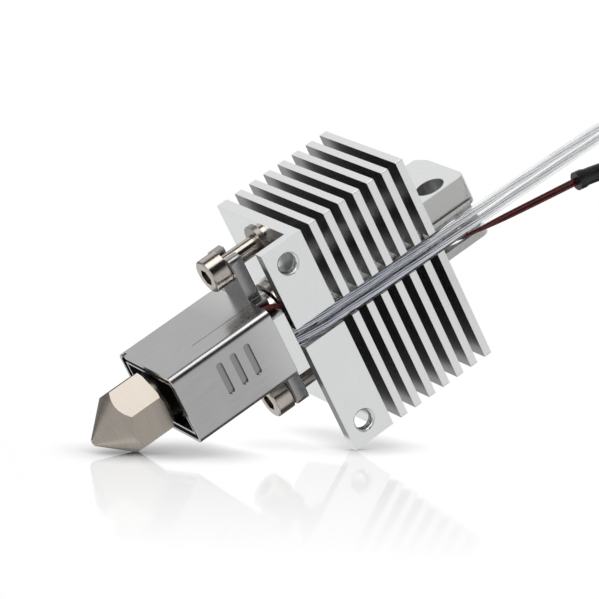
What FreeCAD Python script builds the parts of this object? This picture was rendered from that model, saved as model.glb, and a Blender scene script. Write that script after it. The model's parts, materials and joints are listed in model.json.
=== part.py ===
import FreeCAD, Part
import math
import os

# Compact 3D printer hotend: finned heatsink, heat break, square-shelled ceramic heater and nozzle.
# Millimetres. The origin is half way between the two tapped holes, on the flange's front face.
# +Z points up to the filament inlet and the leads, -Z to the nozzle, -Y out of the flange's front.

Vec = FreeCAD.Vector
UP = Vec(0, 0, 1)
AXIS_X = -3.5                   # the filament axis, shared by nozzle, heater and heat break
AXIS_Y = 7.35

# heatsink
SINK_HALF_W = 14.9
SINK_DEPTH = 19.0
BASE_Z = (1.75, 3.3)
FLANGE_T = 1.5
FLANGE_BOTTOM = -2.8
TAPPED_X = 12.0                 # half the pitch of the two M3 holes
TAPPED_R = 1.25
TAPPED_CHAMFER = 0.35
PAST = 5.0                      # how far a cutting block or drill runs past what it cuts
CHANNEL_X = (-3.9, -1.1)        # slot for the heater leads, down the middle of the fins
CHANNEL_DEPTH = 3.4
FIN_COUNT = 7
FIN_PITCH = 2.3
FIN_T = 1.05
FIN_FIRST_Z = 4.6
COLUMN_R = 6.5
COLUMN_Y = 9.0
FINS_TOP = FIN_FIRST_Z + (FIN_COUNT - 1) * FIN_PITCH + FIN_T
ROOT_RING_R = 4.65
ROOT_RING_Z = -0.8
EDGE_BREAK = 0.12               # small bevel on the fins' and plate's outer corners

# boss on top of the heatsink, with a cross hole
BOSS_X = (-7.9, 0.9)
BOSS_Y = (0.6, 11.75)
BOSS_TOP = 26.6
BOSS_FRONT_ROUND = 1.2
BOSS_CHAMFER = (2.1, 0.75)      # along Y and down Z, at the rear top edge
CROSS_R = 1.9
CROSS_Y = 3.1
CROSS_Z = 22.54
RELIEF_X = (-5.1, -4.5)         # narrow upright groove beside the lead channel
RELIEF_DEPTH = 0.35
BOSS_CHANNEL_RIGHT = -0.15      # the lead channel is wider here, for the thermistor leads
BOSS_CHANNEL_DEPTH = 2.9

# heat break and filament path
SLEEVE_R = 3.5
SLEEVE_TOP = 8.0
SLEEVE_FLANGE_R = 4.4
SLEEVE_FLANGE_Z = -1.8
THROAT_R = 2.1
THROAT_BORE = 1.0
THROAT_BOTTOM = -13.0
COLLAR_R = 3.8
COLLAR_TOP = -1.95
GUIDE_R = 2.0
GUIDE_HOLE_R = 2.05
GUIDE_TOP = 26.4
FILAMENT_R = 1.0

# mounting plate with open-ended ears
PLATE_Z = (-5.15, -3.4)
EAR_X = (-14.55, 7.5)
EAR_Y = (4.6, 10.7)
EAR_ROUND = 0.8
EAR_SLOT_R = 1.35
SCREW_X = (-13.1, 6.15)
SCREW_Y = 7.5
NOTCH_X = -7.0                  # the thermistor leads leave by this corner notch
NOTCH_Y = 2.95
GROMMET_INSET = 0.05
GROMMET_Y = (1.0, 2.55)

# heater housing
SHELL_X = (-8.4, 1.4)
SHELL_Y = (-0.2, 13.9)
SHELL_BOTTOM = -20.3
SHELL_WALL = 0.45
SHELL_ROUND = 1.0
LEAST_ROUND = 0.2               # corner rounding of what sits inside the housing, at the least
SHELL_NOTCH_Y = (12.2, 12.85)   # small notch in the left wall at the nozzle end
SHELL_NOTCH_H = 0.5
END_PLATE_Z = (-19.3, -18.6)
END_LIP_GAP = 0.6               # the end plate's folded lip stands this far inside the housing's wall
END_LIP_T = 0.28
END_LIP_BOTTOM = -20.2
SEAM_Y = 3.8                    # folded seam on the housing's left wall
SEAM_SIZE = 0.1
SEAM_END_Z = -14.5
VENT_CENTRE_X = -4.2            # three short milled slots on the housing's front
VENT_LENGTH = 4.6
VENT_WIDTH = 0.9
VENT_DEPTH = 0.3
VENT_FIRST_Z = -13.9
VENT_PITCH = 2.1
VENT_COUNT = 3
CORE_R = 3.5
CORE_BOTTOM = -20.6
CORE_THREAD_TOP = -13.0
CORE_THREAD_R = 3.0
HEATER_R = 4.1
HEATER_Z = (-17.6, -8.0)
FILL_Z = (-18.5, -5.25)
FILL_GAP = 0.05
CAPSULE_AT = (-6.2, 2.35)
CAPSULE_R = 1.0
CAPSULE_Z = (-14.0, -6.5)

# nozzle
NOZZLE_HEX_AF = 8.0
NOZZLE_HEX_TURN = 4.5           # degrees, the hexagon's first corner from +X
NOZZLE_TOP = -13.05
NOZZLE_THREAD_R = 2.95
NOZZLE_HEX_TOP = -21.2
NOZZLE_CONE_TOP = -26.4         # where the cone meets the middle of a flat
NOZZLE_TIP = -30.35
NOZZLE_TIP_R = 0.45
NOZZLE_ORIFICE_R = 0.2
NOZZLE_BORE_END = -28.9
NOZZLE_TOP_BEVEL = 0.45
NOZZLE_CORNER_CLEAR = 0.1       # the turned outline runs this far past the hexagon's corners

# M2.5 cap screws
HEAD_R = 2.25
HEAD_H = 2.5
HEAD_GAP = 0.05
HEAD_BEVEL = 0.2
SHANK_R = 1.2
SHANK_TOP = 3.2
SHANK_HOLE_R = 1.25
SOCKET_AF = 2.0
SOCKET_DEPTH = 1.3
SOCKET_TURN = 30.0
SCREW_COLLAR_R = 2.35
SCREW_COLLAR_Z = (0.1, 0.9)
WASHER_R = 1.9

# leads, as routes of straight runs joined by tangent arcs
LEAD_D = 1.3
LEAD_START = -3.2
SENSOR_D = 0.5
SLEEVE_D = 2.2
ARC_SHARE = 0.45
HEATER_ROUTE_A = [
    (-3.17, 1.78, LEAD_START),
    (-3.17, 0.72, -0.4),
    (-3.17, 0.50, 4.8),
    (-3.17, 0.15, 15.0),
    (-3.17, -0.30, 30.0),
    (-3.15, -1.35, 48.0),
    (2.55, -8.57, 57.2),
    (10.61, -18.78, 57.2),
    (16.31, -26.00, 48.0),
    (16.31, -26.00, 39.5),
]
HEATER_ROUTE_B = [
    (-1.83, 1.78, LEAD_START),
    (-1.83, 0.72, -0.4),
    (-1.83, 0.46, 4.8),
    (-1.83, 0.15, 15.0),
    (-1.83, -0.20, 30.0),
    (-1.83, -0.90, 48.0),
    (3.75, -7.75, 57.2),
    (11.81, -17.96, 57.2),
    (17.51, -25.18, 48.0),
    (17.51, -25.18, 39.5),
]
SENSOR_ROUTE_A = [
    (-7.70, 1.85, -5.15),
    (-7.70, 1.85, -3.05),
    (-4.60, 1.85, -1.50),
    (-1.90, 1.85, 0.90),
    (-1.55, 1.85, 6.00),
    (-1.60, 1.85, 12.50),
    (-1.65, 1.80, 19.00),
    (-0.75, 0.05, 23.00),
    (-0.45, -0.25, 27.50),
    (0.66, 0.02, 33.80),
    (1.80, 0.40, 40.10),
]
SENSOR_ROUTE_B = [
    (-7.70, 2.40, -5.15),
    (-7.70, 2.40, -3.05),
    (-4.60, 2.40, -1.50),
    (-1.90, 2.40, 0.90),
    (-1.55, 2.40, 6.00),
    (-1.60, 2.40, 12.50),
    (-1.65, 2.42, 19.00),
    (-0.72, 0.66, 23.00),
    (-0.35, 0.30, 27.50),
    (1.10, 0.40, 33.80),
    (2.36, 0.40, 40.10),
]
SLEEVE_ROUTE = [
    (2.08, 0.40, 40.10),
    (3.70, 0.45, 48.60),
    (10.40, -6.60, 57.60),
    (18.20, -15.40, 58.60),
    (24.40, -22.40, 50.00),
    (24.40, -22.40, 41.50),
]

# plugs
HEATER_PLUG = (6.6, 4.2, 9.0)   # along the pair, across it, and down
SENSOR_PLUG = (5.2, 3.6, 8.0)
PLUG_TURN = 34.0                # degrees, the pair's own direction at its end
PIN_R = 0.45
PIN_PITCH = 2.5
PIN_RUN = (1.0, 7.0)            # the crimp pins' ends, down from the plug's top
PLUG_ROUND = 0.4


def box(xs, ys, zs):
    """A block between two x, two y and two z values."""
    corner = Vec(xs[0], ys[0], zs[0])
    return Part.makeBox(xs[1] - xs[0], ys[1] - ys[0], zs[1] - zs[0], corner)


def rod(radius, z0, z1, x=AXIS_X, y=AXIS_Y):
    """An upright cylinder."""
    return Part.makeCylinder(radius, z1 - z0, Vec(x, y, z0), UP)


def tube(radius, bore, z0, z1, x=AXIS_X, y=AXIS_Y):
    """An upright tube."""
    return rod(radius, z0, z1, x, y).cut(rod(bore, z0, z1, x, y))


def hexagon(across_flats, z0, z1, x, y, turn=0.0):
    """An upright hexagonal prism."""
    radius = across_flats / math.sqrt(3)
    points = []
    for k in range(7):
        angle = math.radians(turn + 60 * k)
        points.append(Vec(x + radius * math.cos(angle), y + radius * math.sin(angle), z0))
    return Part.Face(Part.makePolygon(points)).extrude(Vec(0, 0, z1 - z0))


def upright_edges(solid):
    return [e for e in solid.Edges if e.BoundBox.ZLength > 0.9 * solid.BoundBox.ZLength]


def round_upright_edges(solid, radius):
    return solid.makeFillet(radius, upright_edges(solid))


def bevelled_slab(xs, ys, zs):
    """A block whose four upright corners are lightly bevelled."""
    slab = box(xs, ys, zs)
    return slab.makeChamfer(EDGE_BREAK, upright_edges(slab))


def heatsink():
    width = (-SINK_HALF_W, SINK_HALF_W)
    depth = (0, SINK_DEPTH)
    body = bevelled_slab(width, depth, BASE_Z)
    body = body.fuse(box(width, (0, FLANGE_T), (FLANGE_BOTTOM, BASE_Z[1])))
    body = body.fuse(rod(COLUMN_R, BASE_Z[0], FINS_TOP, AXIS_X, COLUMN_Y))
    body = body.fuse(rod(ROOT_RING_R, ROOT_RING_Z, BASE_Z[0]))
    for k in range(FIN_COUNT):
        low = FIN_FIRST_Z + k * FIN_PITCH
        body = body.fuse(bevelled_slab(width, depth, (low, low + FIN_T)))
    body = body.cut(box(CHANNEL_X, (-PAST, CHANNEL_DEPTH), (FLANGE_BOTTOM - PAST, FINS_TOP)))
    body = body.fuse(boss())
    body = body.cut(rod(SLEEVE_R, ROOT_RING_Z, SLEEVE_TOP))
    body = body.cut(rod(GUIDE_HOLE_R, SLEEVE_TOP, BOSS_TOP))
    for x in (-TAPPED_X, TAPPED_X):
        body = body.cut(Part.makeCylinder(TAPPED_R, FLANGE_T, Vec(x, 0, 0), Vec(0, 1, 0)))
        mouth_r = TAPPED_R + TAPPED_CHAMFER
        for y, way in ((0, 1), (FLANGE_T, -1)):
            mouth = Part.makeCone(mouth_r, TAPPED_R, TAPPED_CHAMFER, Vec(x, y, 0), Vec(0, way, 0))
            body = body.cut(mouth)
    for x in SCREW_X:
        body = body.cut(rod(SHANK_HOLE_R, BASE_Z[0], BASE_Z[1], x, SCREW_Y))
    return body.removeSplitter()


def boss():
    """The block above the last fin, with its profile drawn in the YZ plane."""
    front, rear = BOSS_Y
    r = BOSS_FRONT_ROUND
    run, drop = BOSS_CHAMFER
    x0 = BOSS_X[0]
    a = Vec(x0, front, FINS_TOP - FIN_T / 2)
    b = Vec(x0, front, BOSS_TOP - r)
    middle = Vec(x0, front + r * (1 - math.sqrt(0.5)), BOSS_TOP - r * (1 - math.sqrt(0.5)))
    c = Vec(x0, front + r, BOSS_TOP)
    d = Vec(x0, rear - run, BOSS_TOP)
    e = Vec(x0, rear, BOSS_TOP - drop)
    f = Vec(x0, rear, FINS_TOP - FIN_T / 2)
    edges = [Part.makeLine(a, b), Part.Arc(b, middle, c).toShape()]
    for start, end in ((c, d), (d, e), (e, f), (f, a)):
        edges.append(Part.makeLine(start, end))
    block = Part.Face(Part.Wire(edges)).extrude(Vec(BOSS_X[1] - BOSS_X[0], 0, 0))
    tall = (FINS_TOP - FIN_T, BOSS_TOP + PAST)
    block = block.cut(box(RELIEF_X, (0, front + RELIEF_DEPTH), tall))
    block = block.cut(box((CHANNEL_X[0], BOSS_CHANNEL_RIGHT), (0, BOSS_CHANNEL_DEPTH), tall))
    drilled = BOSS_X[1] - x0 + 2 * PAST
    hole = Part.makeCylinder(CROSS_R, drilled, Vec(x0 - PAST, CROSS_Y, CROSS_Z), Vec(1, 0, 0))
    return block.cut(hole)


def mounting_plate():
    middle = box(SHELL_X, SHELL_Y, PLATE_Z)
    ears = round_upright_edges(box(EAR_X, EAR_Y, PLATE_Z), EAR_ROUND)
    plate = middle.fuse(ears).removeSplitter()
    for x, outside in zip(SCREW_X, (EAR_X[0] - PAST, EAR_X[1] + PAST)):
        plate = plate.cut(rod(EAR_SLOT_R, PLATE_Z[0], PLATE_Z[1], x, SCREW_Y))
        span = (min(x, outside), max(x, outside))
        slot = box(span, (SCREW_Y - EAR_SLOT_R, SCREW_Y + EAR_SLOT_R), PLATE_Z)
        plate = plate.cut(slot)
    plate = plate.cut(rod(THROAT_R, PLATE_Z[0], PLATE_Z[1]))
    plate = plate.cut(box((SHELL_X[0] - PAST, NOTCH_X), (SHELL_Y[0] - PAST, NOTCH_Y), PLATE_Z))
    return plate.cut(grommet_block())


def grommet_block():
    """The rubber block that the heater leads leave by, in its cut-out in the mounting plate."""
    xs = (CHANNEL_X[0] + GROMMET_INSET, CHANNEL_X[1] - GROMMET_INSET)
    return box(xs, GROMMET_Y, (PLATE_Z[0], LEAD_START))


def heater_shell():
    outer = round_upright_edges(box(SHELL_X, SHELL_Y, (SHELL_BOTTOM, PLATE_Z[0])), SHELL_ROUND)
    shell = outer.cut(inside_block((SHELL_BOTTOM, PLATE_Z[0])))
    notch_x = (SHELL_X[0] - PAST, SHELL_X[0] + SHELL_WALL)
    shell = shell.cut(box(notch_x, SHELL_NOTCH_Y, (SHELL_BOTTOM, SHELL_BOTTOM + SHELL_NOTCH_H)))
    seam_x = (SHELL_X[0] - PAST, SHELL_X[0] + SEAM_SIZE)
    shell = shell.cut(box(seam_x, (SEAM_Y, SEAM_Y + SEAM_SIZE), (SEAM_END_Z, PLATE_Z[0])))
    for k in range(VENT_COUNT):
        shell = shell.cut(vent_slot(VENT_FIRST_Z + k * VENT_PITCH))
    return shell


def vent_slot(z):
    """One round-ended slot across the housing's front."""
    r = VENT_WIDTH / 2
    half = VENT_LENGTH / 2 - r
    y0 = SHELL_Y[0]
    slot = box((VENT_CENTRE_X - half, VENT_CENTRE_X + half), (y0, y0 + VENT_DEPTH), (z - r, z + r))
    for x in (VENT_CENTRE_X - half, VENT_CENTRE_X + half):
        slot = slot.fuse(Part.makeCylinder(r, VENT_DEPTH, Vec(x, y0, z), Vec(0, 1, 0)))
    return slot


def inside_block(zs, gap=0.0):
    """A block that fills the housing's inside, less a gap all round."""
    inset = SHELL_WALL + gap
    xs = (SHELL_X[0] + inset, SHELL_X[1] - inset)
    ys = (SHELL_Y[0] + inset, SHELL_Y[1] - inset)
    return round_upright_edges(box(xs, ys, zs), max(SHELL_ROUND - inset, LEAST_ROUND))


def shell_end_plate():
    """A pressed plate round the heater core, with a folded lip that faces the nozzle."""
    lip_zs = (END_LIP_BOTTOM, END_PLATE_Z[0])
    lip = inside_block(lip_zs, END_LIP_GAP).cut(inside_block(lip_zs, END_LIP_GAP + END_LIP_T))
    return inside_block(END_PLATE_Z).fuse(lip).cut(rod(CORE_R, *END_PLATE_Z))


def heater_insulation():
    fill = inside_block(FILL_Z, FILL_GAP)
    fill = fill.cut(rod(CORE_R, FILL_Z[0], FILL_Z[1]))
    fill = fill.cut(rod(HEATER_R, HEATER_Z[0], HEATER_Z[1]))
    return fill.cut(rod(CAPSULE_R, CAPSULE_Z[0], CAPSULE_Z[1], *CAPSULE_AT))


def heater_core():
    core = rod(CORE_R, CORE_BOTTOM, PLATE_Z[0])
    core = core.cut(rod(CORE_THREAD_R, CORE_BOTTOM, CORE_THREAD_TOP))
    return core.cut(rod(THROAT_R, CORE_THREAD_TOP, PLATE_Z[0]))


def nozzle():
    hex_part = hexagon(NOZZLE_HEX_AF, NOZZLE_TIP, NOZZLE_HEX_TOP, AXIS_X, AXIS_Y, NOZZLE_HEX_TURN)
    flat_r = NOZZLE_HEX_AF / 2
    slope = (flat_r - NOZZLE_TIP_R) / (NOZZLE_CONE_TOP - NOZZLE_TIP)
    corner_r = NOZZLE_HEX_AF / math.sqrt(3) + NOZZLE_CORNER_CLEAR
    corner_z = NOZZLE_TIP + (corner_r - NOZZLE_TIP_R) / slope
    bevel_r = corner_r - NOZZLE_TOP_BEVEL
    outline = [
        (0, NOZZLE_TIP),
        (NOZZLE_TIP_R, NOZZLE_TIP),
        (corner_r, corner_z),
        (corner_r, NOZZLE_HEX_TOP - NOZZLE_TOP_BEVEL / 2),
        (bevel_r, NOZZLE_HEX_TOP),
        (0, NOZZLE_HEX_TOP),
    ]
    body = hex_part.common(turned(outline))
    body = body.fuse(rod(NOZZLE_THREAD_R, NOZZLE_HEX_TOP, NOZZLE_TOP))
    bore = [
        (0, NOZZLE_TIP),
        (NOZZLE_ORIFICE_R, NOZZLE_TIP),
        (NOZZLE_ORIFICE_R, NOZZLE_BORE_END),
        (FILAMENT_R, NOZZLE_BORE_END + 2 * FILAMENT_R),
        (FILAMENT_R, NOZZLE_TOP),
        (0, NOZZLE_TOP),
    ]
    return body.cut(turned(bore))


def turned(outline):
    """A solid of revolution about the filament axis from (radius, z) points."""
    points = [Vec(AXIS_X + r, AXIS_Y, z) for r, z in outline]
    points.append(points[0])
    face = Part.Face(Part.makePolygon(points))
    return face.revolve(Vec(AXIS_X, AXIS_Y, 0), UP, 360)


def cap_screw(x):
    """A socket cap screw, head down against the plate's lower face."""
    top = PLATE_Z[0] - HEAD_GAP
    low = top - HEAD_H
    head = rod(HEAD_R, low, top, x, SCREW_Y)
    rim = [e for e in head.Edges if e.BoundBox.ZMax < low + HEAD_BEVEL]
    head = head.makeChamfer(HEAD_BEVEL, rim)
    head = head.cut(hexagon(SOCKET_AF, low, low + SOCKET_DEPTH, x, SCREW_Y, SOCKET_TURN))
    return head.fuse(rod(SHANK_R, top, SHANK_TOP, x, SCREW_Y))


def cord(route, diameter, name):
    """A round tube along straight runs joined by tangent arcs."""
    points = [Vec(*p) for p in route]
    edges = []
    radii = []
    start = points[0]
    for before, corner, after in zip(points, points[1:], points[2:]):
        back = (before - corner).normalize()
        ahead = (after - corner).normalize()
        half_turn = (math.pi - back.getAngle(ahead)) / 2
        reach = ARC_SHARE * min(corner.distanceToPoint(before), corner.distanceToPoint(after))
        radius = reach / math.tan(half_turn)
        enter = corner + back * reach
        leave = corner + ahead * reach
        inward = (back + ahead).normalize()
        top = corner + inward * (radius / math.cos(half_turn) - radius)
        edges.append(Part.LineSegment(start, enter).toShape())
        edges.append(Part.Arc(enter, top, leave).toShape())
        radii.append(round(radius, 1))
        start = leave
    edges.append(Part.LineSegment(start, points[-1]).toShape())
    path = Part.Wire(edges)
    ring = Part.Wire([Part.makeCircle(diameter / 2, points[0], points[1] - points[0])])
    solid = path.makePipeShell([ring], True, True)
    section = math.pi * diameter ** 2 / 4
    print(name, "radii", radii, "length", round(path.Length, 1),
          "volume ratio", round(solid.Volume / (section * path.Length), 4))
    return solid


def plug(size, top):
    """A plug housing, turned to its pair of wires, with its crimp pins cut out."""
    along, across, tall = size
    x, y, z = top
    body = box((-along / 2, along / 2), (-across / 2, across / 2), (-tall, 0))
    body = round_upright_edges(body, PLUG_ROUND)
    for hole in pins():
        body = body.cut(hole)
    body.rotate(Vec(0, 0, 0), UP, PLUG_TURN)
    body.translate(Vec(x, y, z))
    return body


def pins():
    """Two crimp pins, before they are turned and moved into a plug."""
    made = []
    for x in (-PIN_PITCH / 2, PIN_PITCH / 2):
        made.append(rod(PIN_R, -PIN_RUN[1], -PIN_RUN[0], x, 0))
    return made


def placed_pins(top):
    pair = Part.makeCompound(pins())
    pair.rotate(Vec(0, 0, 0), UP, PLUG_TURN)
    pair.translate(Vec(*top))
    return pair


def middle_of(a, b):
    return tuple((p + q) / 2 for p, q in zip(a, b))


HEATER_PLUG_TOP = middle_of(HEATER_ROUTE_A[-1], HEATER_ROUTE_B[-1])
SENSOR_PLUG_TOP = SLEEVE_ROUTE[-1]

nodes = {
    "heatsink": heatsink(),
    "heat_break_sleeve": tube(SLEEVE_R, THROAT_R, SLEEVE_FLANGE_Z, SLEEVE_TOP).fuse(
        tube(SLEEVE_FLANGE_R, THROAT_R, SLEEVE_FLANGE_Z, ROOT_RING_Z)),
    "heat_break_throat": tube(THROAT_R, THROAT_BORE, THROAT_BOTTOM, SLEEVE_TOP),
    "heat_break_collar": tube(COLLAR_R, THROAT_R, PLATE_Z[1], COLLAR_TOP),
    "filament_guide_tube": tube(GUIDE_R, FILAMENT_R, SLEEVE_TOP, GUIDE_TOP),
    "mounting_plate": mounting_plate(),
    "heater_shell": heater_shell(),
    "shell_end_plate": shell_end_plate(),
    "heater_core": heater_core(),
    "ceramic_heater": tube(HEATER_R, CORE_R, *HEATER_Z),
    "heater_insulation": heater_insulation(),
    "thermistor_capsule": rod(CAPSULE_R, CAPSULE_Z[0], CAPSULE_Z[1], *CAPSULE_AT),
    "nozzle": nozzle(),
    "lead_grommet": grommet_block(),
    "heater_lead_a": cord(HEATER_ROUTE_A, LEAD_D, "heater_lead_a"),
    "heater_lead_b": cord(HEATER_ROUTE_B, LEAD_D, "heater_lead_b"),
    "thermistor_lead_a": cord(SENSOR_ROUTE_A, SENSOR_D, "thermistor_lead_a"),
    "thermistor_lead_b": cord(SENSOR_ROUTE_B, SENSOR_D, "thermistor_lead_b"),
    "thermistor_sleeve": cord(SLEEVE_ROUTE, SLEEVE_D, "thermistor_sleeve"),
    "heater_plug": plug(HEATER_PLUG, HEATER_PLUG_TOP),
    "heater_plug_pins": placed_pins(HEATER_PLUG_TOP),
    "thermistor_plug": plug(SENSOR_PLUG, SENSOR_PLUG_TOP),
    "thermistor_plug_pins": placed_pins(SENSOR_PLUG_TOP),
}
for side, screw_x in zip(("left", "right"), SCREW_X):
    nodes[side + "_cap_screw"] = cap_screw(screw_x)
    nodes[side + "_screw_collar"] = tube(
        SCREW_COLLAR_R, SHANK_HOLE_R, SCREW_COLLAR_Z[0], SCREW_COLLAR_Z[1], screw_x, SCREW_Y)
    nodes[side + "_seat_washer"] = tube(
        WASHER_R, SHANK_HOLE_R, SCREW_COLLAR_Z[1], BASE_Z[0], screw_x, SCREW_Y)

os.makedirs("parts", exist_ok=True)
for name, shape in nodes.items():
    shape.exportStep("parts/" + name + ".step")
    print(name, "valid", shape.isValid(), "solids", len(shape.Solids), "volume", round(shape.Volume, 2))
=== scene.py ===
import json
import math

import bmesh
import bpy
from mathutils import Matrix, Vector


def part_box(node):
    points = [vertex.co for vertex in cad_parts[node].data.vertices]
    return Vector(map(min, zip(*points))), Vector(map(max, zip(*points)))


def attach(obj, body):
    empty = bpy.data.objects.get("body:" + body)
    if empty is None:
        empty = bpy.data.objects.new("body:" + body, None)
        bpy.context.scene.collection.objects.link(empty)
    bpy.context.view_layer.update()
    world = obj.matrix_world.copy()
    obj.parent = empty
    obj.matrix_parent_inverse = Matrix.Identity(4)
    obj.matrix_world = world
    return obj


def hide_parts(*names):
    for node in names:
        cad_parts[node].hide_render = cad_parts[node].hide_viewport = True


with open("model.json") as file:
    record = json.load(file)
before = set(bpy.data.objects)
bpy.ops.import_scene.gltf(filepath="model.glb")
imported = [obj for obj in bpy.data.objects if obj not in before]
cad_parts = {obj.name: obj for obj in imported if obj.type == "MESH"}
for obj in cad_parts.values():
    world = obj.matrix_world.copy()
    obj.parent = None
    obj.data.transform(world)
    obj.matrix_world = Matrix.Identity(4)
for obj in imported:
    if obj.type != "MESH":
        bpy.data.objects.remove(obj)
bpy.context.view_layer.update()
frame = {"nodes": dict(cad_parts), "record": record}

ROOT = "hotend"
MM = 0.001

# ---------------------------------------------------------------- camera
# metres in the part's own frame; the view is the reference's, with the nozzle down to the left
CAMERA_AT = Vector((-0.20332, -0.37592, -0.13871))
CAMERA_RIGHT = Vector((0.3935, -0.4907, 0.7774)).normalized()
CAMERA_UP = Vector((-0.8072, 0.2203, 0.5476))
CAMERA_BACK = CAMERA_RIGHT.cross(CAMERA_UP).normalized()
CAMERA_UP = CAMERA_BACK.cross(CAMERA_RIGHT)
CAMERA_LENS = 218.8
SENSOR = 36.0


def axes_matrix(x, y, z, at):
    """A placement whose local axes are the given directions."""
    turn = Matrix((x, y, z)).transposed().to_4x4()
    return Matrix.Translation(at) @ turn


def make_camera():
    data = bpy.data.cameras.new("camera")
    data.lens = CAMERA_LENS
    data.sensor_width = SENSOR
    data.clip_start = 0.01
    data.clip_end = 20.0
    camera = bpy.data.objects.new("camera", data)
    bpy.context.scene.collection.objects.link(camera)
    camera.matrix_world = axes_matrix(CAMERA_RIGHT, CAMERA_UP, CAMERA_BACK, CAMERA_AT)
    bpy.context.scene.camera = camera


make_camera()


# ---------------------------------------------------------------- cords
LEAD_D = 1.3 * MM
SENSOR_D = 0.5 * MM
SLEEVE_D = 2.2 * MM
HEATER_ROUTE_A = [
    (-3.17, 1.78, -3.2), (-3.17, 0.72, -0.4), (-3.17, 0.50, 4.8), (-3.17, 0.15, 15.0),
    (-3.17, -0.30, 30.0), (-3.16, -0.93, 40.8), (-3.15, -1.35, 48.0), (2.55, -8.57, 57.2),
    (10.61, -18.78, 57.2), (16.31, -26.00, 48.0), (16.31, -26.00, 39.5),
]
HEATER_ROUTE_B = [
    (-1.83, 1.78, -3.2), (-1.83, 0.72, -0.4), (-1.83, 0.46, 4.8), (-1.83, 0.15, 15.0),
    (-1.83, -0.20, 30.0), (-1.83, -0.62, 40.8), (-1.83, -0.90, 48.0), (3.75, -7.75, 57.2),
    (11.81, -17.96, 57.2), (17.51, -25.18, 48.0), (17.51, -25.18, 39.5),
]
SENSOR_ROUTE_A = [
    (-7.70, 1.85, -5.15), (-7.70, 1.85, -3.05), (-4.60, 1.85, -1.50), (-1.90, 1.85, 0.90),
    (-1.55, 1.85, 6.00), (-1.60, 1.85, 12.50), (-1.65, 1.80, 19.00), (-0.75, 0.05, 23.00),
    (-0.45, -0.25, 27.50), (0.66, 0.02, 33.80), (1.80, 0.40, 40.10),
]
SENSOR_ROUTE_B = [
    (-7.70, 2.40, -5.15), (-7.70, 2.40, -3.05), (-4.60, 2.40, -1.50), (-1.90, 2.40, 0.90),
    (-1.55, 2.40, 6.00), (-1.60, 2.40, 12.50), (-1.65, 2.42, 19.00), (-0.72, 0.66, 23.00),
    (0.08, 0.00, 27.50), (1.20, 0.06, 33.80), (2.36, 0.40, 40.10),
]
SLEEVE_ROUTE = [
    (2.08, 0.40, 40.10), (3.70, 0.45, 48.60), (10.40, -6.60, 57.60),
    (18.20, -15.40, 58.60), (24.40, -22.40, 50.00), (24.40, -22.40, 41.50),
]


def add_object(name, data):
    piece = bpy.data.objects.new(name, data)
    bpy.context.scene.collection.objects.link(piece)
    return piece


def route_curve(name, route):
    """An open smooth spline whose control points are a route given in millimetres."""
    curve = bpy.data.curves.new(name, "CURVE")
    curve.dimensions = "3D"
    curve.resolution_u = 16
    spline = curve.splines.new("NURBS")
    spline.points.add(len(route) - 1)
    for point, (x, y, z) in zip(spline.points, route):
        point.co = (x * MM, y * MM, z * MM, 1.0)
    spline.order_u = 3
    spline.use_endpoint_u = True
    return add_object(name, curve)


def centre_line(route):
    """Points along a route's own smooth spline."""
    probe = route_curve("probe", route)
    mesh = bpy.data.meshes.new_from_object(probe)
    line = [v.co.copy() for v in mesh.vertices]
    curve = probe.data
    bpy.data.objects.remove(probe)
    bpy.data.curves.remove(curve)
    bpy.data.meshes.remove(mesh)
    return line


def even_line(line, step):
    """The same line, at points an even step apart."""
    lengths = [0.0]
    for a, b in zip(line, line[1:]):
        lengths.append(lengths[-1] + (b - a).length)
    count = max(2, round(lengths[-1] / step))
    made = []
    k = 0
    for i in range(count + 1):
        want = lengths[-1] * i / count
        while k < len(line) - 2 and lengths[k + 1] < want:
            k += 1
        span = lengths[k + 1] - lengths[k]
        made.append(line[k].lerp(line[k + 1], (want - lengths[k]) / span))
    return made


def frames_along(line):
    """(point, side, other side) at each point, turned as little as possible."""
    made = []
    side = None
    for i, point in enumerate(line):
        ahead = (line[min(i + 1, len(line) - 1)] - line[max(i - 1, 0)]).normalized()
        if side is None:
            side = ahead.orthogonal().normalized()
        side = (side - ahead * side.dot(ahead)).normalized()
        made.append((point, side, ahead.cross(side)))
    return made


def add_tube(bm, frames, radius_at, offset_at, sides):
    """A closed tube round the line, its centre moved by offset_at and its radius from radius_at."""
    rings = []
    for i, (point, side, other) in enumerate(frames):
        du, dv = offset_at(i)
        centre = point + side * du + other * dv
        reach = radius_at(i)
        ring = []
        for k in range(sides):
            a = 2 * math.pi * k / sides
            out = side * (reach * math.cos(a)) + other * (reach * math.sin(a))
            ring.append(bm.verts.new(centre + out))
        rings.append(ring)
    for lower, upper in zip(rings, rings[1:]):
        for k in range(sides):
            n = (k + 1) % sides
            bm.faces.new((lower[k], lower[n], upper[n], upper[k]))
    bm.faces.new(list(reversed(rings[0])))
    bm.faces.new(rings[-1])


def mesh_object(name, bm, sharp=40):
    mesh = bpy.data.meshes.new(name)
    bmesh.ops.recalc_face_normals(bm, faces=bm.faces)
    bm.to_mesh(mesh)
    bm.free()
    mesh.shade_smooth()
    mesh.set_sharp_from_angle(angle=math.radians(sharp))
    return add_object(name, mesh)


STRAND_R = 0.11 * MM
STRAND_SIDES = 8
STRAND_STEP = 0.55 * MM
STRAND_LAY = 45.0 * MM          # length in which the outer strands go once round the middle one
OUTER_STRANDS = 6


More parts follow.
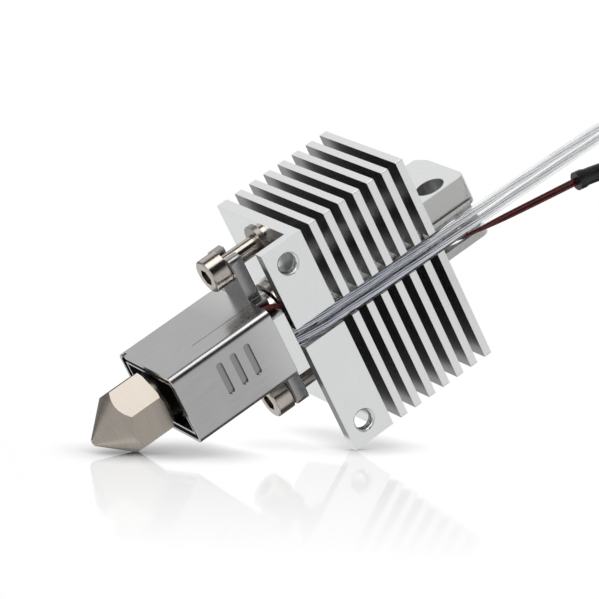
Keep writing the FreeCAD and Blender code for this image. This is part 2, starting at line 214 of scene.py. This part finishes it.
def strands(name, route):
    """Silvered strands twisted round a middle one, inside a clear lead."""
    line = even_line(centre_line(route), STRAND_STEP)
    frames = frames_along(line)
    step = (line[1] - line[0]).length
    bm = bmesh.new()
    add_tube(bm, frames, lambda i: STRAND_R, lambda i: (0, 0), STRAND_SIDES)
    for k in range(OUTER_STRANDS):
        def offset(i, k=k):
            a = 2 * math.pi * (k / OUTER_STRANDS + i * step / STRAND_LAY)
            return (2 * STRAND_R * math.cos(a), 2 * STRAND_R * math.sin(a))
        add_tube(bm, frames, lambda i: STRAND_R, offset, STRAND_SIDES)
    return mesh_object(name, bm)


TUBE_STEP = 0.5 * MM
TUBE_SIDES = 24
LIP_RINGS = 3
CUT_LIP = 1.12                  # the shrink sleeve's cut end, against its own diameter


def lead(name, route, diameter, node, lip=1.0):
    """A round tube along the route, with a wider lip over its first rings where one is asked for."""
    line = even_line(centre_line(route), TUBE_STEP)
    bm = bmesh.new()
    add_tube(bm, frames_along(line), lambda i: diameter / 2 * (lip if i < LIP_RINGS else 1.0),
             lambda i: (0, 0), TUBE_SIDES)
    piece = mesh_object(name, bm)
    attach(piece, ROOT)
    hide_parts(node)
    return piece


lead_a = lead("heater_lead_a_cover", HEATER_ROUTE_A, LEAD_D, "heater_lead_a")
lead_b = lead("heater_lead_b_cover", HEATER_ROUTE_B, LEAD_D, "heater_lead_b")
strands_a = strands("heater_lead_a_strands", HEATER_ROUTE_A)
strands_b = strands("heater_lead_b_strands", HEATER_ROUTE_B)
for piece in (strands_a, strands_b):
    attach(piece, ROOT)
sensor_a = lead("thermistor_lead_a_wire", SENSOR_ROUTE_A, SENSOR_D, "thermistor_lead_a")
sensor_b = lead("thermistor_lead_b_wire", SENSOR_ROUTE_B, SENSOR_D, "thermistor_lead_b")
sleeve = lead("thermistor_shrink_sleeve", SLEEVE_ROUTE, SLEEVE_D, "thermistor_sleeve",
              lip=CUT_LIP)


# ---------------------------------------------------------------- materials
class Material:
    """A node material with short ways to add its parts."""

    def __init__(self, name):
        self.made = bpy.data.materials.new(name)
        self.made.use_nodes = True
        self.nodes = self.made.node_tree.nodes
        self.links = self.made.node_tree.links
        self.shader = self.nodes["Principled BSDF"]
        place = self.nodes.new("ShaderNodeTexCoord")
        self.place = place.outputs["Object"]
        self.facing = place.outputs["Normal"]

    def set(self, **values):
        for key, value in values.items():
            self.shader.inputs[key.replace("_", " ")].default_value = value
        return self

    def stretched(self, scale):
        """Places on the surface, scaled along each axis, for a grain with a direction."""
        node = self.nodes.new("ShaderNodeMapping")
        node.inputs["Scale"].default_value = scale
        self.links.new(self.place, node.inputs["Vector"])
        return node.outputs["Vector"]

    def noise(self, scale, detail=3.0, roughness=0.5, stretch=(1, 1, 1)):
        node = self.nodes.new("ShaderNodeTexNoise")
        node.inputs["Scale"].default_value = scale
        node.inputs["Detail"].default_value = detail
        node.inputs["Roughness"].default_value = roughness
        self.links.new(self.stretched(stretch), node.inputs["Vector"])
        return node.outputs["Fac"]

    def ramp(self, value, low, high, start=0.0, end=1.0):
        """Maps value from start..end to low..high, numbers or colours."""
        if isinstance(low, (tuple, list)):
            node = self.nodes.new("ShaderNodeValToRGB")
            node.color_ramp.elements[0].position = start
            node.color_ramp.elements[1].position = end
            node.color_ramp.elements[0].color = (*low, 1)
            node.color_ramp.elements[1].color = (*high, 1)
            self.links.new(value, node.inputs["Fac"])
            return node.outputs["Color"]
        node = self.nodes.new("ShaderNodeMapRange")
        for key, number in (("From Min", start), ("From Max", end), ("To Min", low), ("To Max", high)):
            node.inputs[key].default_value = number
        self.links.new(value, node.inputs["Value"])
        return node.outputs["Result"]

    def along(self, axis, vector=None):
        """Where the surface is along one axis, in metres, or one part of another vector."""
        node = self.nodes.new("ShaderNodeSeparateXYZ")
        self.links.new(vector or self.place, node.inputs["Vector"])
        return node.outputs[axis]

    def mix(self, factor, first, second):
        """The first colour where factor is 0 and the second, a constant, where it is 1."""
        node = self.nodes.new("ShaderNodeMix")
        node.data_type = "RGBA"
        self.links.new(factor, node.inputs["Factor"])
        self.links.new(first, node.inputs["A"])
        node.inputs["B"].default_value = (*second, 1)
        return node.outputs["Result"]

    def tint(self, factor, colour):
        """Turns the base colour to another one where factor is 1."""
        base = self.shader.inputs["Base Color"]
        self.links.new(self.mix(factor, base.links[0].from_socket, colour), base)

    def both(self, first, second):
        """1 where both factors are 1."""
        return self.math("MULTIPLY", first, second)

    def size_of(self, value):
        """The value without its sign."""
        return self.math("ABSOLUTE", value, 0.0)

    def math(self, kind, a, b):
        node = self.nodes.new("ShaderNodeMath")
        node.operation = kind
        for socket, value in zip(node.inputs, (a, b)):
            if isinstance(value, (int, float)):
                socket.default_value = value
            else:
                self.links.new(value, socket)
        return node.outputs["Value"]

    def bump(self, height, depth, strength=1.0):
        node = self.nodes.new("ShaderNodeBump")
        node.inputs["Strength"].default_value = strength
        node.inputs["Distance"].default_value = depth
        self.links.new(height, node.inputs["Height"])
        self.links.new(node.outputs["Normal"], self.shader.inputs["Normal"])
        return self

    def drive(self, socket, value):
        self.links.new(value, self.shader.inputs[socket])
        return self


BLOTCH_GRAIN = 260.0
STREAK_SHARE = 0.6


def metal(name, dark, light, rough, grain, stretch, depth):
    """A metal with streaks along one direction, blotches of tone and fine pits."""
    m = Material(name)
    m.set(Metallic=1.0)
    streaks = m.noise(grain, 4.0, 0.6, stretch)
    blotches = m.noise(BLOTCH_GRAIN, 3.0, 0.55)
    tone = m.math("ADD", m.math("MULTIPLY", streaks, STREAK_SHARE),
                  m.math("MULTIPLY", blotches, 1.0 - STREAK_SHARE))
    m.drive("Base Color", m.ramp(tone, dark, light, 0.3, 0.7))
    m.drive("Roughness", m.ramp(tone, rough * 0.8, rough * 1.25, 0.3, 0.7))
    m.bump(streaks, depth)
    return m


ALONG_X = (0.2, 1, 1)
ALONG_Z = (1, 1, 0.15)
TURNED = (0.12, 0.12, 3)
EVEN = (1, 1, 1)
METALS = {
    # slot: dark tone, light tone, roughness, grain, stretch, depth of grain in metres
    "bright_aluminium": ((0.82, 0.83, 0.835), (0.90, 0.905, 0.91), 0.30, 2600.0, ALONG_X, 3e-6),
    "satin_steel": ((0.43, 0.43, 0.43), (0.49, 0.49, 0.488), 0.24, 2200.0, ALONG_Z, 2e-6),
    "stainless": ((0.42, 0.375, 0.335), (0.60, 0.55, 0.50), 0.17, 1800.0, EVEN, 2e-6),
    "polished_steel": ((0.56, 0.53, 0.50), (0.70, 0.67, 0.64), 0.16, 1800.0, TURNED, 2e-6),
    "nickel": ((0.37, 0.328, 0.286), (0.47, 0.426, 0.376), 0.26, 1500.0, TURNED, 3e-6),
    "titanium": ((0.45, 0.43, 0.41), (0.58, 0.56, 0.53), 0.30, 1500.0, TURNED, 3e-6),
    "tinned_brass": ((0.60, 0.60, 0.61), (0.80, 0.80, 0.80), 0.22, 4000.0, EVEN, 2e-6),
}


def plastic(name, dark, light, rough, depth, grain=1500.0):
    """A moulded or coated surface with a fine mottle of tone, gloss and height."""
    m = Material(name)
    tone = m.noise(grain, 4.0, 0.6)
    m.drive("Base Color", m.ramp(tone, dark, light, 0.35, 0.65))
    m.drive("Roughness", m.ramp(tone, rough * 0.85, rough * 1.15, 0.3, 0.7))
    m.bump(tone, depth)
    return m


PLASTICS = {
    # slot: dark tone, light tone, roughness, depth of grain in metres, grain where it isn't the usual one
    "dark_red_enamel": ((0.07, 0.006, 0.008), (0.15, 0.012, 0.014), 0.3, 2e-6),
    "black_sleeve": ((0.003, 0.003, 0.003), (0.009, 0.009, 0.01), 0.38, 1e-5, 900.0),
    "dark_silicone": ((0.006, 0.006, 0.006), (0.015, 0.015, 0.015), 0.6, 1e-5),
    "white_ptfe": ((0.80, 0.80, 0.78), (0.88, 0.88, 0.86), 0.4, 3e-6),
    "ceramic": ((0.78, 0.77, 0.72), (0.86, 0.85, 0.81), 0.6, 6e-6),
    "insulation": ((0.70, 0.67, 0.60), (0.82, 0.80, 0.74), 0.9, 3e-5),
    "white_nylon": ((0.78, 0.765, 0.71), (0.84, 0.83, 0.78), 0.35, 4e-6),
}


def make_clear_fep():
    """Clear insulation with a slight haze."""
    m = Material("clear_fep")
    m.set(Transmission_Weight=1.0, IOR=1.34)
    m.shader.inputs["Base Color"].default_value = (0.96, 0.97, 0.975, 1)
    haze = m.noise(900.0, 3.0, 0.5)
    m.drive("Roughness", m.ramp(haze, 0.03, 0.12, 0.35, 0.65))
    m.bump(haze, 4e-6)
    return m.made


def make_copper():
    """Copper, with painted shade that turns it near black towards its open end."""
    m = metal("copper", (0.60, 0.34, 0.22), (0.76, 0.48, 0.34), 0.32, 1500.0, TURNED, 3e-6)
    m.tint(m.ramp(m.along("Z"), 1.0, 0.0, -18.5 * MM, -16.5 * MM), (0.02, 0.017, 0.015))
    return m.made


def make_strand_wire():
    """Tinned strands, with painted shade: darker along the stretch that lies in the fins' slot."""
    m = metal("strand_wire", *METALS["tinned_brass"])
    m.tint(m.ramp(m.along("Z"), 1.0, 0.0, 15 * MM, 26 * MM), (0.50, 0.52, 0.57))
    return m.made


TAPPED_X = 12.0 * MM            # places and sizes on the heatsink, for its painted shade and its threads
TAPPED_R = 1.25 * MM
CHAMFER_END = 0.35 * MM
FINS_FROM = 3.2 * MM
FINS_TO = 19.3 * MM
BASE_UNDER = 1.8 * MM
SOFT_EDGE = 0.1 * MM            # width in which one shade turns into the next
FIN_GAP_SHADE_GREY = (0.27, 0.265, 0.26)
GROOVE_SHADE_GREY = (0.08, 0.08, 0.085)
UNDER_FLANGE_SHADE_GREY = (0.23, 0.23, 0.23)
BOSS_FRONT_SHADE_GREY = (0.50, 0.50, 0.49)


def shade_fin_walls(m):
    """Painted shade: the walls between the fins are darker than the outer faces."""
    flat = m.ramp(m.size_of(m.along("Z", m.facing)), 0.0, 1.0, 0.7, 0.95)
    above = m.ramp(m.along("Z"), 0.0, 1.0, FINS_FROM - SOFT_EDGE, FINS_FROM)
    below = m.ramp(m.along("Z"), 1.0, 0.0, FINS_TO, FINS_TO + SOFT_EDGE)
    m.tint(m.both(flat, m.both(above, below)), FIN_GAP_SHADE_GREY)


def shade_tapped_holes(m):
    """Painted shade in the tapped holes: the thread's grooves are dark, and its crests stay bright."""
    beside = m.math("SUBTRACT", m.size_of(m.along("X")), TAPPED_X)
    squared = m.math("ADD", m.math("POWER", m.size_of(beside), 2.0),
                     m.math("POWER", m.size_of(m.along("Z")), 2.0))
    within = m.math("LESS_THAN", squared, (1.3 * TAPPED_R) ** 2)
    sideways = m.ramp(m.size_of(m.along("Y", m.facing)), 1.0, 0.0, 0.5, 0.9)
    inside = m.ramp(m.along("Y"), 0.0, 1.0, CHAMFER_END - SOFT_EDGE / 2, CHAMFER_END + SOFT_EDGE / 2)
    wall = m.both(m.both(within, sideways), inside)
    grooves = m.ramp(squared, 0.35, 1.0, (TAPPED_R + 0.03 * MM) ** 2, (TAPPED_R + 0.10 * MM) ** 2)
    m.tint(m.both(wall, grooves), GROOVE_SHADE_GREY)


def shade_behind_flange(m):
    """Painted shade: the base's underside is darker behind the flange."""
    behind = m.both(m.ramp(m.along("Y"), 1.0, 0.0, 6.0 * MM, 8.5 * MM),
                    m.ramp(m.size_of(m.along("X")), 1.0, 0.0, 12.6 * MM, 13.4 * MM))
    under = m.both(m.ramp(m.along("Z", m.facing), 1.0, 0.0, -0.95, -0.7),
                   m.ramp(m.along("Z"), 1.0, 0.0, BASE_UNDER, BASE_UNDER + SOFT_EDGE))
    m.tint(m.both(behind, under), UNDER_FLANGE_SHADE_GREY)


def shade_boss_front(m):
    """Painted shade: the boss's front is darker than the fins' edges."""
    ahead = m.ramp(m.along("Y", m.facing), 0.85, 0.0, -0.99, -0.3)
    boss = m.ramp(m.along("Z"), 0.0, 1.0, FINS_TO + 2 * SOFT_EDGE, FINS_TO + 3 * SOFT_EDGE)
    m.tint(m.both(ahead, boss), BOSS_FRONT_SHADE_GREY)


def make_sink_aluminium():
    """Milled aluminium, with painted shade between the fins, in the threads' grooves, under the base
    behind the flange and on the boss's front.
    """
    m = metal("sink_aluminium", *METALS["bright_aluminium"])
    shade_fin_walls(m)
    shade_tapped_holes(m)
    shade_behind_flange(m)
    shade_boss_front(m)
    return m.made


VENT_FLOOR = (0.05 * MM, 0.15 * MM)


def make_shell_steel():
    """Satin steel, with painted light near the mounting plate and painted shade on its milled slots'
    floors.
    """
    m = metal("shell_steel", *METALS["satin_steel"])
    m.tint(m.ramp(m.along("Z"), 0.0, 0.55, -10 * MM, -4 * MM), (0.78, 0.78, 0.775))
    ahead = m.ramp(m.along("Y", m.facing), 1.0, 0.0, -0.9, -0.7)
    depth = m.ramp(m.along("Y"), 0.0, 1.0, *VENT_FLOOR)
    m.tint(m.both(ahead, depth), (0.13, 0.13, 0.13))
    return m.made


PLATE_FRONT = 0.4 * MM


def make_plate_steel():
    """Steel in darker tones than the satin steel, as painted shade, with a painted highlight along its
    front edge and painted light on its underside.
    """
    m = metal("plate_steel", (0.33, 0.33, 0.33), (0.40, 0.40, 0.398), *METALS["satin_steel"][2:])
    m.tint(m.ramp(m.along("Y"), 1.0, 0.0, PLATE_FRONT, 2 * PLATE_FRONT), (0.86, 0.865, 0.87))
    m.tint(m.ramp(m.along("Z", m.facing), 1.0, 0.0, -0.9, -0.7), (0.58, 0.58, 0.575))
    return m.made


BY_SLOT = {slot: metal(slot, *values).made for slot, values in METALS.items()}
BY_SLOT.update({slot: plastic(slot, *values).made for slot, values in PLASTICS.items()})
BY_SLOT["copper"] = make_copper()
BY_SLOT["clear_fep"] = make_clear_fep()
SLOT_OF = {part["node"]: part["material_slot"] for part in frame["record"]["subparts"]}


def give(piece, material):
    """Makes a material the piece's only one."""
    piece.data.materials.clear()
    piece.data.materials.append(material)


for piece in (lead_a, lead_b):
    give(piece, BY_SLOT["clear_fep"])
for piece in (strands_a, strands_b):
    give(piece, make_strand_wire())
for piece in (sensor_a, sensor_b):
    give(piece, BY_SLOT["dark_red_enamel"])
give(sleeve, BY_SLOT["black_sleeve"])

# a darker, rougher steel than the stainless, for the screw collars
dull_steel = metal("darker_steel", (0.27, 0.25, 0.235), (0.36, 0.335, 0.31), 0.30, 1800.0, EVEN, 2e-6).made
# nodes whose colour differs from place to place, by painted shade and light, or from the rest of their
# slot
OWN_MATERIAL = {
    "heatsink": make_sink_aluminium(),
    "mounting_plate": make_plate_steel(),
    "heater_shell": make_shell_steel(),
    "left_screw_collar": dull_steel,
    "right_screw_collar": dull_steel,
}


def material_of(node):
    return OWN_MATERIAL.get(node) or BY_SLOT[SLOT_OF[node]]


for node, piece in frame["nodes"].items():
    give(piece, material_of(node))

# ---------------------------------------------------------------- machined pieces
BODY_OF = {node: body for body, nodes in frame["record"]["behaviour"]["bodies"].items() for node in nodes}

THREAD_STEPS = 15
M3_PITCH = 0.5 * MM
THREAD_DEPTH = 0.2 * MM
ON_WALL = 0.02 * MM             # how near the bore's radius a point of its wall is
LEAST_RUNG = 0.3 * MM           # the wall's straight edges are longer than this, the chamfers' aren't


def thread_wall(bm, axis_x, axis_z, bore, out, pitch):
    """Cuts a screw thread's ridges into the wall of a hole drilled along Y."""
    def from_axis(co):
        return math.hypot(co.x - axis_x, co.z - axis_z)

    def on_wall(vert):
        return abs(from_axis(vert.co) - bore) < ON_WALL

    rungs = [e for e in bm.edges if on_wall(e.verts[0]) and on_wall(e.verts[1])
             and abs(e.verts[0].co.y - e.verts[1].co.y) > LEAST_RUNG]
    low = min(v.co.y for e in rungs for v in e.verts)
    high = max(v.co.y for e in rungs for v in e.verts)
    bmesh.ops.subdivide_edges(bm, edges=rungs, cuts=THREAD_STEPS, use_grid_fill=True)
    for vert in bm.verts:
        if low < vert.co.y < high and on_wall(vert):
            turn = math.atan2(vert.co.z - axis_z, vert.co.x - axis_x) / (2 * math.pi)
            phase = (vert.co.y / pitch - turn) % 1.0
            edge = min(1.0, (vert.co.y - low) / pitch * 3, (high - vert.co.y) / pitch * 3)
            grow = 1.0 + out * edge * (1.0 - abs(2.0 * phase - 1.0)) / bore
            vert.co.x = axis_x + (vert.co.x - axis_x) * grow
            vert.co.z = axis_z + (vert.co.z - axis_z) * grow


HOLE_REACH = 1.4 * TAPPED_R     # edges this near a tapped hole's axis keep their own shape


def near_tapped_hole(edge):
    middle = (edge.verts[0].co + edge.verts[1].co) / 2
    return min(math.hypot(middle.x - x, middle.z) for x in (-TAPPED_X, TAPPED_X)) < HOLE_REACH


def cut_threads(bm):
    for x in (-TAPPED_X, TAPPED_X):
        thread_wall(bm, x, 0.0, TAPPED_R, THREAD_DEPTH, M3_PITCH)


HEATER_PLUG = (6.6 * MM, 4.2 * MM, 9.0 * MM)    # along the pair of wires, across it, and down
SENSOR_PLUG = (5.2 * MM, 3.6 * MM, 8.0 * MM)
PLUG_TURN = math.radians(34.0)
MOUTH_WALL = 0.55 * MM
MOUTH_DEPTH = 1.4 * MM
RIB = 0.4 * MM
LATCH_W = 1.8 * MM


def plug_shape(node, size):
    """Returns what turns a plain plug block into a housing with a mouth, ribs and a latch."""
    along, across, tall = size
    low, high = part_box(node)
    top = Vector(((low[0] + high[0]) / 2, (low[1] + high[1]) / 2, high[2]))
    place = Matrix.Translation(top) @ Matrix.Rotation(PLUG_TURN, 4, "Z")

    def block(bm, size, at):
        form = place @ Matrix.Translation(Vector(at)) @ Matrix.Diagonal((*size, 1.0))
        bmesh.ops.create_cube(bm, size=1.0, matrix=form)

    def shape(bm):
        bottom = max((f for f in bm.faces if f.normal.z < -0.99), key=lambda f: f.calc_area())
        bmesh.ops.inset_individual(bm, faces=[bottom], thickness=MOUTH_WALL)
        pushed = bmesh.ops.extrude_discrete_faces(bm, faces=[bottom])["faces"]
        bmesh.ops.translate(bm, verts=pushed[0].verts, vec=(0, 0, MOUTH_DEPTH))
        # three ribs down one side, the latch's arm and its catch on the other, a collar on top
        for k in (-1, 0, 1):
            block(bm, (RIB, 1.6 * RIB, 0.55 * tall), (k * along / 3.4, across / 2, -0.6 * tall))
        block(bm, (LATCH_W, 2 * RIB, 0.6 * tall), (0, -across / 2 - 0.4 * RIB, -0.45 * tall))
        block(bm, (1.5 * LATCH_W, 2.6 * RIB, 1.5 * RIB), (0, -across / 2 - 0.7 * RIB, -0.72 * tall))
        block(bm, (0.86 * along, 0.7 * across, RIB), (0, 0, -RIB / 4))

    return shape


def refined(node, bevel, segments=2, angle=25, shape=None):
    """A piece of the node's own shape with its sharp edges broken by a small bevel."""
    bm = bmesh.new()
    bm.from_mesh(frame["nodes"][node].data)
    bmesh.ops.remove_doubles(bm, verts=bm.verts, dist=1e-7)
    bmesh.ops.dissolve_limit(bm, angle_limit=math.radians(0.6), verts=bm.verts, edges=bm.edges)
    if shape:
        shape(bm)
    limit = math.radians(angle)
    sharp = [e for e in bm.edges if len(e.link_faces) == 2 and e.calc_face_angle() > limit]
    sharp = [e for e in sharp if not near_tapped_hole(e)]
    bmesh.ops.bevel(bm, geom=sharp, offset=bevel, segments=segments, profile=0.5,
                    affect="EDGES", clamp_overlap=True)
    piece = mesh_object(node + "_finished", bm, 30)
    weigh = piece.modifiers.new("flat_faces", "WEIGHTED_NORMAL")
    weigh.keep_sharp = True
    give(piece, material_of(node))
    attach(piece, BODY_OF[node])
    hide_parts(node)
    return piece


FINE_EDGE = 0.05 * MM
refined("heatsink", FINE_EDGE, shape=cut_threads)
refined("mounting_plate", 0.08 * MM)
refined("heater_shell", 0.04 * MM, 1, 60)
for ring in ("heat_break_collar", "heat_break_sleeve"):
    refined(ring, FINE_EDGE, 1)
for side in ("left", "right"):
    for turned in ("_cap_screw", "_screw_collar", "_seat_washer"):
        refined(side + turned, FINE_EDGE, 1)
refined("nozzle", 0.06 * MM)
refined("heater_plug", 0.1 * MM, shape=plug_shape("heater_plug", HEATER_PLUG))
refined("thermistor_plug", 0.1 * MM, shape=plug_shape("thermistor_plug", SENSOR_PLUG))


# ---------------------------------------------------------------- floor and studio
FLOOR_PITCH = math.radians(7.0)  # how far down the camera looks at the floor
FLOOR_SIZE = 0.12               # half its width
FLOOR_SETTLE = 4                # turns of the floor until it touches both of its points
FLOOR_MIDDLE = 20 * MM          # the object's middle, from the floor's own origin
SHADOW_REACH = 7.0 * MM         # contact shadows come from what is nearer than this
SHADOW_RAYS = 16
MIRROR_NEAR = 0.27              # the floor's reflection beside the object
MIRROR_FADE = 0.066             # how far from the object it fades out
MIRROR_FULL = 0.04
MIRROR_ROUGH = 0.06
STEEP, SHALLOW = 0.5, 0.78      # from none to all of the reflection, as the view gets shallower


def lowest(node, normal):
    return min((v.co for v in frame["nodes"][node].data.vertices), key=lambda co: co.dot(normal))


def floor_place():
    """(touching point, normal) of the floor that the nozzle and a flange corner rest on."""
    normal = (CAMERA_UP * math.cos(FLOOR_PITCH) + CAMERA_BACK * math.sin(FLOOR_PITCH)).normalized()
    for _ in range(FLOOR_SETTLE):
        tip = lowest("nozzle", normal)
        across = (lowest("heatsink", normal) - tip).normalized()
        normal = (normal - across * normal.dot(across)).normalized()
    return tip, normal


FLOOR_AT, FLOOR_NORMAL = floor_place()


def floor_mirror(m):
    """How strong the reflection is: faded away from the object, and only at shallow angles."""
    aside = m.size_of(m.math("SUBTRACT", m.along("X"), FLOOR_MIDDLE))
    sides = m.ramp(aside, 1.0, 0.0, MIRROR_FULL, MIRROR_FADE)
    ahead = m.ramp(m.size_of(m.along("Y")), MIRROR_NEAR, 0.0, 0.0, MIRROR_FADE)
    grazing = m.nodes.new("ShaderNodeLayerWeight")
    grazing.inputs["Blend"].default_value = 0.5
    shallow = m.ramp(grazing.outputs["Facing"], 0.0, 1.0, STEEP, SHALLOW)
    return m.both(m.both(sides, ahead), shallow)


def make_floor_material():
    """Clear, with contact shadows and a faint reflection, and nothing at all from below."""
    m = Material("floor")
    nodes, links = m.nodes, m.links
    nodes.remove(m.shader)
    near = nodes.new("ShaderNodeAmbientOcclusion")
    near.samples = SHADOW_RAYS
    near.inputs["Distance"].default_value = SHADOW_REACH
    open_sky = m.ramp(near.outputs["AO"], 0.02, 1.0, 0.1, 0.97)
    mirror = floor_mirror(m)
    through = nodes.new("ShaderNodeBsdfTransparent")
    links.new(m.both(open_sky, m.math("SUBTRACT", 1.0, mirror)), through.inputs["Color"])
    gloss = nodes.new("ShaderNodeBsdfGlossy")
    gloss.inputs["Roughness"].default_value = MIRROR_ROUGH
    links.new(mirror, gloss.inputs["Color"])
    seen = nodes.new("ShaderNodeAddShader")
    links.new(through.outputs["BSDF"], seen.inputs[0])
    links.new(gloss.outputs["BSDF"], seen.inputs[1])
    underside = nodes.new("ShaderNodeNewGeometry").outputs["Backfacing"]
    nothing = nodes.new("ShaderNodeBsdfTransparent")
    one_sided = nodes.new("ShaderNodeMixShader")
    links.new(underside, one_sided.inputs["Fac"])
    links.new(seen.outputs["Shader"], one_sided.inputs[1])
    links.new(nothing.outputs["BSDF"], one_sided.inputs[2])
    links.new(one_sided.outputs["Shader"], nodes["Material Output"].inputs["Surface"])
    return m.made


def make_floor():
    """A clear sheet over the white backdrop, which only the camera sees."""
    x = (CAMERA_RIGHT - FLOOR_NORMAL * CAMERA_RIGHT.dot(FLOOR_NORMAL)).normalized()
    y = FLOOR_NORMAL.cross(x)
    bm = bmesh.new()
    bmesh.ops.create_grid(bm, x_segments=2, y_segments=2, size=FLOOR_SIZE)
    floor = mesh_object("floor", bm)
    floor.matrix_world = axes_matrix(x, y, FLOOR_NORMAL, FLOOR_AT)
    give(floor, make_floor_material())
    floor.visible_diffuse = False
    floor.visible_glossy = False
    floor.visible_transmission = False
    floor.visible_shadow = False


make_floor()


def from_angles(azimuth, elevation):
    """A direction, from degrees round from +X and degrees up."""
    a, e = math.radians(azimuth), math.radians(elevation)
    return Vector((math.cos(a) * math.cos(e), math.sin(a) * math.cos(e), math.sin(e)))


FORWARD = -CAMERA_BACK
SEEN_IN_FLOOR = FORWARD - FLOOR_NORMAL * (2 * FORWARD.dot(FLOOR_NORMAL))
ROOM = 0.26                     # the grey room's own brightness
DARKENED = 0.92                 # how much of it the darker parts lose
# soft panels of light round the object: direction, full to this angle, none past this one, brightness
PANELS = [
    (from_angles(297.6, 18), 20, 42, 0.52),
    (from_angles(117.6, 18), 16, 34, 0.60),
    (from_angles(62.4, -20), 14, 30, 0.55),
    (from_angles(186.5, 18), 12, 24, 1.9),
    (from_angles(186.5, -18), 10, 22, 3.2),
    (from_angles(240.0, -88), 42, 66, 0.48),
    (from_angles(5.0, -30), 14, 32, 0.42),
    (from_angles(20.0, 70), 25, 60, 0.50),
    (SEEN_IN_FLOOR, 6, 8, 0.96),
]
# darker parts of the room, which give round metal its stripes: direction, full to, none past
DARK_PARTS = [
    (from_angles(62.4, 18), 16, 36),
    (from_angles(150.0, 12), 8, 16),
    (from_angles(228.0, 14), 16, 28),
    (from_angles(5.0, 18), 14, 30),
]


def make_studio():
    """A grey room with soft panels of light, seen in reflections, and a white backdrop."""
    world = bpy.data.worlds.new("studio")
    bpy.context.scene.world = world
    world.use_nodes = True
    nodes, links = world.node_tree.nodes, world.node_tree.links
    way = nodes.new("ShaderNodeTexCoord").outputs["Generated"]

    def spot(direction, full, none, value):
        """value within full degrees of the direction, falling to 0 at none degrees."""
        toward = nodes.new("ShaderNodeVectorMath")
        toward.operation = "DOT_PRODUCT"
        links.new(way, toward.inputs[0])
        toward.inputs[1].default_value = direction.normalized()
        fall = nodes.new("ShaderNodeMapRange")
        fall.interpolation_type = "SMOOTHSTEP"
        fall.inputs["From Min"].default_value = math.cos(math.radians(none))
        fall.inputs["From Max"].default_value = math.cos(math.radians(full))
        fall.inputs["To Min"].default_value = 0.0
        fall.inputs["To Max"].default_value = value
        links.new(toward.outputs["Value"], fall.inputs["Value"])
        return fall.outputs["Result"]

    def combine(kind, a, b):
        node = nodes.new("ShaderNodeMath")
        node.operation = kind
        for socket, value in zip(node.inputs, (a, b)):
            if isinstance(value, float):
                socket.default_value = value
            else:
                links.new(value, socket)
        return node.outputs["Value"]

    level = None
    for part in DARK_PARTS:
        kept = combine("SUBTRACT", 1.0, spot(*part, DARKENED))
        level = combine("MULTIPLY", kept, ROOM if level is None else level)
    for panel in PANELS:
        level = combine("ADD", level, spot(*panel))
    room = nodes["Background"]
    links.new(level, room.inputs["Color"])
    backdrop = nodes.new("ShaderNodeBackground")
    backdrop.inputs["Color"].default_value = (1, 1, 1, 1)
    path = nodes.new("ShaderNodeLightPath")
    direct = combine("MAXIMUM", path.outputs["Is Camera Ray"], path.outputs["Is Transmission Ray"])
    mix = nodes.new("ShaderNodeMixShader")
    links.new(direct, mix.inputs["Fac"])
    links.new(room.outputs["Background"], mix.inputs[1])
    links.new(backdrop.outputs["Background"], mix.inputs[2])
    links.new(mix.outputs["Shader"], nodes["World Output"].inputs["Surface"])


make_studio()
bpy.context.scene.view_settings.view_transform = "Standard"
